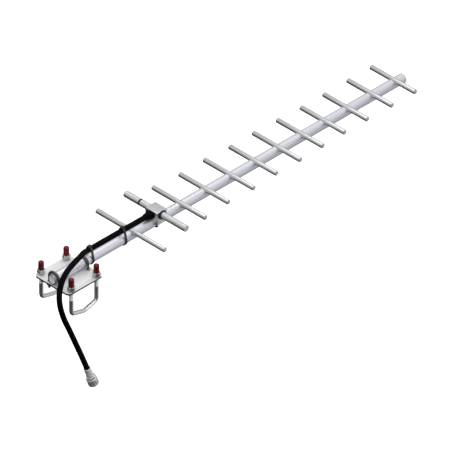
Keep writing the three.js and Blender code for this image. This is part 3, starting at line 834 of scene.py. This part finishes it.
def stamped(name, outlines, thickness, edge, placing, material):
    """A flat piece from closed outlines in millimetres, thickness along its own Z, with rounded
    edges. The first outline is the outside and the others are holes."""
    curve = bpy.data.curves.new(name, "CURVE")
    curve.dimensions = "2D"
    curve.fill_mode = "BOTH"
    curve.extrude = (thickness / 2 - edge) * MM
    curve.bevel_depth = edge * MM
    curve.bevel_resolution = 2
    curve.offset = -edge * MM
    for outline in outlines:
        spline = curve.splines.new("POLY")
        spline.points.add(len(outline) - 1)
        spline.use_cyclic_u = True
        for point, (x, y) in zip(spline.points, outline):
            point.co = (x * MM, y * MM, 0, 1)
    draft = bpy.data.objects.new(name + "_draft", curve)
    bpy.context.scene.collection.objects.link(draft)
    depsgraph = bpy.context.evaluated_depsgraph_get()
    mesh = bpy.data.meshes.new_from_object(draft.evaluated_get(depsgraph))
    bpy.data.objects.remove(draft)
    mesh.transform(placing)
    merged = bmesh.new()
    merged.from_mesh(mesh)
    bmesh.ops.remove_doubles(merged, verts=merged.verts, dist=1e-6)
    bmesh.ops.recalc_face_normals(merged, faces=merged.faces)
    merged.to_mesh(mesh)
    merged.free()
    mesh.name = name
    mesh.materials.clear()
    mesh.materials.append(material)
    soften(mesh)
    piece = bpy.data.objects.new(name, mesh)
    bpy.context.scene.collection.objects.link(piece)
    return piece


def axes(origin, x_way, y_way):
    """The matrix that lays a flat piece's X and Y along two directions, about a point."""
    z_way = x_way.cross(y_way)
    columns = Matrix((x_way, y_way, z_way)).transposed().to_4x4()
    return Matrix.Translation(origin) @ columns


def arc(x, y, radius, start, end, steps):
    """Points of an arc, in degrees, both ends included."""
    turns = [math.radians(start + (end - start) * k / steps) for k in range(steps + 1)]
    return [(x + radius * math.cos(turn), y + radius * math.sin(turn)) for turn in turns]


block_bottom = block_low.z / MM - feed_place.z / MM
block_top = block_high.z / MM - feed_place.z / MM
saddle = boom_radius + 0.3
corner_round = 1.2
block_outline = [
    *arc(block_side - corner_round, block_top - corner_round, corner_round, 0, 90, 6),
    *arc(-block_side + corner_round, block_top - corner_round, corner_round, 90, 180, 6),
    (-block_side, block_bottom),
    (-saddle, block_bottom),
    *arc(0, block_bottom, saddle, 177, 3, 44),
    (saddle, block_bottom),
    (block_side, block_bottom),
]
block_depth = (block_high.x - block_low.x) / MM
block_matrix = axes(feed_place, Y_AXIS, Z_AXIS)
block_metal = milled_aluminium()
block_edge = 0.5
block = stamped("feed_housing", [block_outline], block_depth, block_edge, block_matrix, block_metal)
bush_bore = 5.2
bush_depth = 4.1
arm_bore = 3.5
core_bore = 3.6
screw_hole_top = -3
outside = 30
block_bores = [
    drilled(bush_bore, -outside, bush_depth, feed_place, Y_AXIS),
    drilled(arm_bore, 0, outside, feed_place, Y_AXIS, 40),
    drilled(core_bore, -outside, 0, feed_place, X_AXIS, 40),
    drilled(screw_hole, -cut_reach, screw_hole_top, feed_place, Z_AXIS, 32),
]
cut_away(block, block_bores)
fit(block, "antenna", "block_aluminium", "feed_block")

black_nylon = plain_plastic("black_nylon", (0.020, 0.020, 0.022), (0.010, 0.010, 0.011), 0.4)
flange_radius = half_size("feed_bush", 0)
bush_sleeve = 4.9
bush_floor = bush_end - 1.2
bush_profile = [
    (0, bush_floor),
    (arm_bore, bush_floor),
    (arm_bore, bush_low),
    (flange_radius - 0.3, bush_low),
    (flange_radius, bush_low + 0.3),
    (flange_radius, -block_side - piece_gap),
    (bush_sleeve, -block_side - piece_gap),
    (bush_sleeve, bush_end),
    (0, bush_end),
]
bush = mesh_piece("insulating_bush", *turned(bush_profile, 56, feed_place, Y_AXIS), black_nylon)
pin_hole = 1.4
pin_hole_length = 12
cut_away(bush, [drilled(pin_hole, -pin_hole_length, 0, feed_place, X_AXIS, 24)])
fit(bush, "antenna", "black_nylon", "feed_bush")

boot_start, boot_face = (x - feed_place.x / MM for x in span("feed_boot", 0))
boot_bore = 5.45
boot_profile = [
    (boot_bore, boot_start + 0.3),
    (5.75, boot_start),
    (6.0, boot_start + 0.2),
    (6.15, boot_start + 0.7),
    (6.25, boot_start + 2.2),
    (6.05, boot_start + 2.5),
    (6.05, boot_start + 3.1),
    (6.45, boot_start + 3.5),
    (6.75, boot_start + 5.4),
    (6.55, boot_start + 5.7),
    (6.6, boot_start + 6.3),
    (7.05, boot_start + 6.8),
    (7.4, boot_start + 8.9),
    (7.2, boot_start + 9.2),
    (7.3, boot_start + 9.8),
    (7.85, boot_start + 10.6),
    (8.2, boot_start + 11.8),
    (8.2, boot_face - 0.4),
    (7.9, boot_face),
    (boot_bore, boot_face),
]
boot = mesh_piece("coax_boot", *turned(boot_profile, 56, feed_place, X_AXIS), jacket)
fit(boot, "antenna", "black_pvc", "feed_boot")


def black_oxide():
    """Blackened steel: dark, slightly blue, with a low oily gloss."""
    steel = Finish("black_oxide", Metallic=0.85)
    bloom = steel.noise(steel.place(), 400, 4)
    steel.drive(Base_Color=steel.blend(bloom, (0.030, 0.031, 0.036), (0.060, 0.061, 0.066)))
    steel.drive(Roughness=0.28 + 0.2 * bloom)
    steel.relief(bloom, 0.1, 0.0001)
    return steel.material


screw_low, screw_high = (z - feed_place.z / MM for z in span("feed_block_screw", 2))
head_top = boom_bottom / MM - feed_place.z / MM - 0.3
head_radius = 4.25
socket_flats = 4
socket_floor = screw_low + 2.2
thread_start = head_top + 14
screw_profile = [
    (0, socket_floor),
    hexagon(socket_flats, socket_floor),
    hexagon(socket_flats, screw_low + 0.25),
    (2.6, screw_low),
    (head_radius - 0.5, screw_low),
    (head_radius, screw_low + 0.5),
    (head_radius, head_top - 0.15),
    (head_radius - 0.15, head_top),
    (2.5, head_top),
    *thread(2.45, thread_start, screw_high - 0.5, 0.8, -0.35),
    (1.9, screw_high),
    (0, screw_high),
]
oxide = black_oxide()
screw = mesh_piece("block_screw", *turned(screw_profile, 48, feed_place, Z_AXIS), oxide)
fit(screw, "antenna", "black_steel", "feed_block_screw")

# The core's insulator and the contact pin are inside the block, so the CAD solids stay.
for node, material in (("feed_core_insulator", white_plastic), ("feed_contact_pin", gold)):
    frame["nodes"][node].data.materials.clear()
    frame["nodes"][node].data.materials.append(material)

# ---- Cable ties ----
# Two black nylon ties pull the coax down on the boom. Each is a flat strap whose tail runs through
# a low head on top of the coax and is trimmed short.

tie_clear = 0.45
tie_thick = 1.25
strap_width = 4.6
tail_width = 4.4
head_length = 6
coax_rise = coax_route[0][2] - boom_axis.z / MM


def tie_loop(grow):
    """The outline of a strap round boom and coax, in the plane across them."""
    tilt = math.degrees(math.asin((boom_radius - coax_radius) / coax_rise))
    lower = arc(0, 0, boom_radius + grow, 180 - tilt, 360 + tilt, 40)
    upper = arc(0, coax_rise, coax_radius + grow, tilt, 180 - tilt, 28)
    return lower + upper


strap_outlines = [tie_loop(tie_clear + tie_thick), tie_loop(tie_clear)]
head_low = coax_rise + coax_radius + tie_clear + 0.3
head_outline = [
    *arc(1.9, head_low + 2.4, 0.8, 0, 90, 5),
    *arc(-1.9, head_low + 2.4, 0.8, 90, 180, 5),
    (-2.7, head_low + 0.6),
    (-1.9, head_low),
    (1.9, head_low),
    (2.7, head_low + 0.6),
]
tail_outline = [
    (-3.6, head_low + 0.9),
    (2.9, head_low + 0.9),
    *arc(3.0, head_low + 1.5, 0.6, -90, 90, 5),
    (-3.6, head_low + 2.1),
]
for node, name in (("cable_tie_front", "tie_front"), ("cable_tie_rear", "tie_rear")):
    cross = axes(Vector((middle(node).x, 0, boom_axis.z)), Y_AXIS, Z_AXIS)
    strap = stamped(name, strap_outlines, strap_width, 0.35, cross, black_nylon)
    head = stamped(f"{name}_head", [head_outline], head_length, 0.4, cross, black_nylon)
    tail = stamped(f"{name}_tail", [tail_outline], tail_width, 0.3, cross, black_nylon)
    fit(strap, "antenna", "black_nylon", node)
    fit(head, "antenna", "black_nylon")
    fit(tail, "antenna", "black_nylon")

# ---- Mast plate ----
# A 4 mm aluminium plate, sheared with rounded corners and broken edges, drilled for the V-bolts and
# for the U-bolts that hold the boom. Its faces are a pale satin; its sides are darker with painted shade.


def satin_sheet():
    """Pale anodised sheet: a fine rolled grain, faint handling marks, an even satin."""
    sheet = Finish("plate_aluminium", Metallic=0.25)
    grain = sheet.noise(sheet.place((20, 900, 900)), 1.0, 2)
    marks = sheet.noise(sheet.place(), 45, 6, 0.65)
    sheet.drive(Base_Color=sheet.blend(marks, (0.74, 0.75, 0.745), (0.86, 0.87, 0.86)))
    sheet.drive(Roughness=0.42 + 0.14 * marks)
    sheet.relief(0.6 * grain + marks, 0.08, 0.0001)
    return sheet.material


plate_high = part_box("mast_plate")[1]
plate_x = plate_high.x / MM
plate_y = plate_high.y / MM
plate_thick = plate_high.z / MM
plate_corner = 8
plate_edge = 0.2
stud_hole = 4.5
leg_hole = 2.9
SIDES = ("left", "right")
ENDS = ("front", "rear")
outline = []
for x_way, y_way, start in ((1, 1, 0), (-1, 1, 90), (-1, -1, 180), (1, -1, 270)):
    corner_x = x_way * (plate_x - plate_corner)
    corner_y = y_way * (plate_y - plate_corner)
    outline += arc(corner_x, corner_y, plate_corner, start, start + 90, 12)
plate_outlines = [outline]
for side in SIDES:
    for end in ENDS:
        stud = middle(f"mast_nut_{side}_{end}") / MM
        plate_outlines.append(arc(stud.x, stud.y, stud_hole, 360, 0, 40)[:-1])
        leg = middle(f"boom_nut_{end}_{side}") / MM
        plate_outlines.append(arc(leg.x, leg.y, leg_hole, 360, 0, 32)[:-1])
plate_place = axes(Vector((0, 0, plate_thick / 2 * MM)), X_AXIS, Y_AXIS)
plate_metal = satin_sheet()
plate = stamped("clamp_plate", plate_outlines, plate_thick, plate_edge, plate_place, plate_metal)
# The plate's sides take the dark edge metal: painted shade.
plate.data.materials.append(shaded_cut_metal)
for facet in plate.data.polygons:
    facet.material_index = int(abs(facet.normal.z) < 0.3)
fit(plate, "antenna", "plate_aluminium", "mast_plate")

# ---- V-bolts, nuts, spring washers and caps ----
# Each V-bolt is an 8 mm zinc-plated rod bent to a shallow V, with a rolled thread on both legs. A
# hex nut and a split washer draw each leg up, and a dark red dipped vinyl cap covers its end.


def zinc_plate(name, dark, light, metallic):
    """Zinc plate: cool, with faint cloudy spangle."""
    zinc = Finish(name, Metallic=metallic)
    spangle = zinc.noise(zinc.place(), 300, 4)
    clouds = zinc.noise(zinc.place(), 60, 3)
    zinc.drive(Base_Color=zinc.blend(spangle, dark, light))
    zinc.drive(Roughness=0.24 + 0.12 * spangle + 0.08 * clouds)
    zinc.relief(spangle, 0.1, 0.0001)
    return zinc.material


def dipped_vinyl():
    """Dark red plastisol: a soft gloss, shallow waves and slightly darker patches."""
    vinyl = Finish("red_vinyl", Specular_IOR_Level=0.3)
    waves = vinyl.noise(vinyl.place(), 240, 3)
    vinyl.drive(Base_Color=vinyl.blend(waves, (0.10, 0.0015, 0.0025), (0.17, 0.003, 0.005)))
    vinyl.drive(Roughness=0.34 + 0.14 * waves)
    vinyl.relief(waves, 0.2, 0.0003)
    return vinyl.material


def rounded(corners, bends, steps):
    """Corner points with each inner corner turned into an arc of its bend radius."""
    line = [corners[0]]
    for before, corner, after, bend in zip(corners, corners[1:], corners[2:], bends):
        to_before = (before - corner).normalized()
        to_after = (after - corner).normalized()
        half = to_before.angle(to_after) / 2
        centre = corner + (to_before + to_after).normalized() * (bend / math.sin(half))
        start = (corner + to_before * (bend / math.tan(half)) - centre).normalized()
        end = (corner + to_after * (bend / math.tan(half)) - centre).normalized()
        line += [centre + start.slerp(end, k / steps) * bend for k in range(steps + 1)]
    line.append(corners[-1])
    return line


def stud_rod(name, line, radius, pitch, threaded, material):
    """A bent rod whose two ends carry a rolled thread of a given length, both cut with a point."""
    sides = 28
    samples = 6
    point_length = 0.8
    plain_step = 1.5
    fine = pitch / samples
    total = sum((q - p).length for p, q in zip(line, line[1:])) / MM
    places = [0, fine]
    while places[-1] < threaded:
        places.append(places[-1] + fine)
    count = len(evenly(line, plain_step * MM))
    gap = total / (count - 1)
    plain_start = places[-1] + 0.5
    plain_end = total - places[-1] - 0.5
    plain = [k * gap for k in range(count) if plain_start < k * gap < plain_end]
    places = places + plain + [total - place for place in reversed(places)]
    points = []
    walked = 0
    pairs = iter(zip(line, line[1:]))
    p, q = next(pairs)
    for place in places:
        while place > walked + (q - p).length / MM + 1e-6:
            walked += (q - p).length / MM
            p, q = next(pairs)
        points.append(p.lerp(q, min(1, (place - walked) * MM / (q - p).length)))

    def reach(i, angle):
        from_end = min(places[i], total - places[i])
        point = max(0, point_length - from_end) * 0.9
        if from_end > threaded:
            return (radius - point) * MM
        turn = angle / (2 * math.pi) * (1 if places[i] < total / 2 else -1)
        phase = (from_end / pitch + turn) % 1
        groove = 0.6 * pitch * (1 - abs(2 * phase - 1)) ** 1.3
        fade = min(1, (threaded - from_end) / (2 * pitch))
        return (radius - max(point, groove * fade)) * MM

    return mesh_piece(name, *swept(points, reach, sides), material, 60)


def hex_nut(node, name, across, bore, material):
    """A chamfered hexagon nut with a countersunk bore, in the place of its CAD node."""
    half = half_size(node, 2)
    flat = across / 2 * 0.965
    profile = [
        (bore, -half + 0.5),
        (bore + 0.5, -half),
        (flat, -half),
        hexagon(across, -half + 0.15, 0.55),
        hexagon(across, half - 0.15, -0.55),
        (flat, half),
        (bore + 0.5, half),
        *thread(bore, half - 0.5, -half + 0.5, 1, 0.25)[:-1],
    ]
    return mesh_piece(name, *turned(profile, 72, middle(node), Z_AXIS), material)


def split_washer(node, name, inner, outer, material):
    """A spring washer: one turn of square wire with a cut and a slight rise across it."""
    centre = middle(node)
    half = half_size(node, 2) - 0.13
    rise_in_turn = 0.25
    verts, faces = [], []
    steps = 60
    cut_half = math.radians(4)
    for k in range(steps + 1):
        turn = cut_half + (2 * math.pi - 2 * cut_half) * k / steps
        rise = (k / steps - 0.5) * rise_in_turn
        for radius, level in ((inner, -1), (inner, 1), (outer, 1), (outer, -1)):
            z = level * half + rise
            spot = Vector((radius * math.cos(turn), radius * math.sin(turn), z)) * MM
            verts.append(centre + spot)
        if k:
            base = 4 * k
            for i in range(4):
                j = (i + 1) % 4
                faces.append((base - 4 + i, base - 4 + j, base + j, base + i))
    faces.append((0, 3, 2, 1))
    faces.append((4 * steps, 4 * steps + 1, 4 * steps + 2, 4 * steps + 3))
    washer = mesh_piece(name, verts, faces, material)
    edge = washer.modifiers.new("edge", "BEVEL")
    edge.width = 0.15 * MM
    edge.segments = 2
    edge.limit_method = "ANGLE"
    return washer


def stud_cap(node, name, material):
    """A dipped cap: a sleeve with a rolled foot and a domed top, closed just above the stud."""
    centre = middle(node)
    foot, top = ((corner.z - centre.z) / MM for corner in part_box(node))
    outer = half_size(node, 0)
    sleeve = 4.3
    dome = 2.9
    profile = [
        (0, top - 1.3),
        (3.2, top - 1.3),
        (sleeve, top - 2.2),
        (sleeve, foot),
        (outer - 0.25, foot),
        (outer + 0.05, foot + 0.25),
        (outer + 0.1, foot + 0.7),
        (outer - 0.05, foot + 1.3),
        (outer - 0.15, foot + 2.2),
        (outer - 0.1, top - dome),
    ]
    for k in range(1, 8):
        turn = k * math.pi / 16
        reach = outer - 0.1 - dome * (1 - math.cos(turn))
        profile.append((reach, top - dome * (1 - math.sin(turn))))
    profile.append((0, top))
    return mesh_piece(name, *turned(profile, 48, centre, Z_AXIS), material)


bright_zinc = zinc_plate("bright_zinc", (0.68, 0.69, 0.68), (0.84, 0.85, 0.84), 0.95)
zinc = zinc_plate("zinc_plate", (0.42, 0.43, 0.42), (0.60, 0.61, 0.60), 0.8)
vinyl = dipped_vinyl()
v_radius = 4
v_pitch = 1.25
v_thread = 44
corner_below_seat = 45.2
apex_below_seat = 53.4
bends = [9 * MM, 14 * MM, 9 * MM]
nut_flats = 13
stud_bore = 4.25
wire_inner = 4.3
wire_outer = 6.5
for side in SIDES:
    low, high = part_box(f"v_bolt_{side}")
    y = (low.y + high.y) / 2
    leg_x = high.x - v_radius * MM
    top = high.z
    corners = [
        Vector((-leg_x, y, top)),
        Vector((-leg_x, y, -corner_below_seat * MM)),
        Vector((0, y, -apex_below_seat * MM)),
        Vector((leg_x, y, -corner_below_seat * MM)),
        Vector((leg_x, y, top)),
    ]
    line = rounded(corners, bends, 10)
    bolt = stud_rod(f"mast_v_bolt_{side}", line, v_radius, v_pitch, v_thread, bright_zinc)
    fit(bolt, f"{side}_v_bolt", "zinc_steel", f"v_bolt_{side}")
    for end in ENDS:
        nut_node = f"mast_nut_{side}_{end}"
        nut = hex_nut(nut_node, f"clamp_nut_{side}_{end}", nut_flats, stud_bore, zinc)
        fit(nut, f"{side}_{end}_nut", "zinc_steel", nut_node)
        washer_node = f"mast_washer_{side}_{end}"
        washer_name = f"spring_washer_{side}_{end}"
        washer = split_washer(washer_node, washer_name, wire_inner, wire_outer, zinc)
        fit(washer, "antenna", "zinc_steel", washer_node)
        cap_node = f"stud_cap_{side}_{end}"
        cap = stud_cap(cap_node, f"red_cap_{side}_{end}", vinyl)
        fit(cap, f"{side}_{end}_cap", "red_vinyl", cap_node)

# ---- U-bolts that hold the boom ----
# Two small U-bolts over the boom in zinc painted near black as shade, their legs through the plate
# with a washer and nut on each below it.

# A near-black copy of the zinc: painted shade on the U-bolts, their nuts and washers.
shade_dark_zinc = zinc_plate("shade_dark_zinc_plate", (0.07, 0.07, 0.075), (0.15, 0.15, 0.155), 0.9)
u_radius = 2.4
u_pitch = 0.8
u_thread = 15
small_nut_flats = 8
small_nut_bore = 2.6
washer_hole = 2.7
washer_rim = 5
crown_steps = 28
for end in ENDS:
    low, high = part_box(f"boom_u_bolt_{end}")
    x = (low.x + high.x) / 2
    leg = high.y / MM - u_radius
    crown = []
    for k in range(crown_steps + 1):
        turn = math.pi - math.pi * k / crown_steps
        height = boom_axis.z + leg * MM * math.sin(turn)
        crown.append(Vector((x, leg * MM * math.cos(turn), height)))
    line = [Vector((x, -leg * MM, low.z)), *crown, Vector((x, leg * MM, low.z))]
    clamp = stud_rod(f"boom_clamp_{end}", line, u_radius, u_pitch, u_thread, shade_dark_zinc)
    fit(clamp, "antenna", "zinc_steel", f"boom_u_bolt_{end}")
    for side in SIDES:
        nut_node = f"boom_nut_{end}_{side}"
        nut_name = f"clamp_small_nut_{end}_{side}"
        nut = hex_nut(nut_node, nut_name, small_nut_flats, small_nut_bore, shade_dark_zinc)
        fit(nut, "antenna", "zinc_steel", nut_node)
        washer_node = f"boom_washer_{end}_{side}"
        half = half_size(washer_node, 2)
        washer_profile = [
            (washer_hole, -half),
            (washer_rim - 0.15, -half),
            (washer_rim, -half + 0.15),
            (washer_rim, half - 0.15),
            (washer_rim - 0.15, half),
            (washer_hole, half),
        ]
        washer_mesh = turned(washer_profile, 48, middle(washer_node), Z_AXIS)
        washer = mesh_piece(f"clamp_small_washer_{end}_{side}", *washer_mesh, shade_dark_zinc)
        fit(washer, "antenna", "zinc_steel", washer_node)

# ---- Floor and light ----
# A plain pale floor well below the antenna, one broad soft light overhead, a weak one from the
# right, and a room that is bright above and dim below, but for a bright part ahead on the right.

floor_half = 14
floor_z = cad_low.z - 0.35
floor_finish = Finish(
    "pale_floor",
    Base_Color=(0.9, 0.9, 0.9, 1),
    Roughness=0.9,
    Emission_Color=(1, 1, 1, 1),
    Emission_Strength=0.6,
)
floor_corners = ((-1, -1), (1, -1), (1, 1), (-1, 1))
floor_points = [(x * floor_half, y * floor_half, floor_z) for x, y in floor_corners]
floor = mesh_piece("floor", floor_points, [(0, 1, 2, 3)], floor_finish.material)
floor.visible_glossy = False
floor.visible_diffuse = False


def soft_light(name, place, size, power):
    """A round area light at a place, turned to the antenna."""
    lamp = bpy.data.lights.new(name, "AREA")
    lamp.shape = "DISK"
    lamp.size = size
    lamp.energy = power
    holder = bpy.data.objects.new(name, lamp)
    holder.location = place
    holder.rotation_euler = (aim - Vector(place)).to_track_quat("-Z", "Y").to_euler()
    bpy.context.scene.collection.objects.link(holder)


soft_light("overhead", (0.6, 0.3, 2.6), 2.2, 25)
soft_light("right", (0.5, -2.4, 0.7), 1.2, 9)

studio = Finish("studio", bpy.data.worlds.new("studio"))
looking = studio.node("ShaderNodeTexCoord", {}, {}, "Generated")
ahead, left, up = (studio.node("ShaderNodeSeparateXYZ", {}, {"Vector": looking}, k) for k in "XYZ")


def ramp(value, low, high, start, end):
    """A soft step between two levels, as the value goes from low to high."""
    limits = {"Value": value, "From Min": low, "From Max": high, "To Min": start, "To Max": end}
    return studio.node("ShaderNodeMapRange", {"interpolation_type": "SMOOTHSTEP"}, limits)


below_level = ramp(ahead, 0.2, 0.6, 0.0, 0.85) * ramp(left, -0.45, 0.2, 1.0, 0.1)
above_level = ramp(up, -0.1, 0.3, 0.0, 1.0)
brightness = below_level + above_level * (1 - below_level)
studio.drive(Color=studio.blend(brightness, (0.04, 0.04, 0.045), (0.76, 0.76, 0.78)))
bpy.context.scene.world = studio.material
bpy.context.scene.view_settings.view_transform = "Standard"
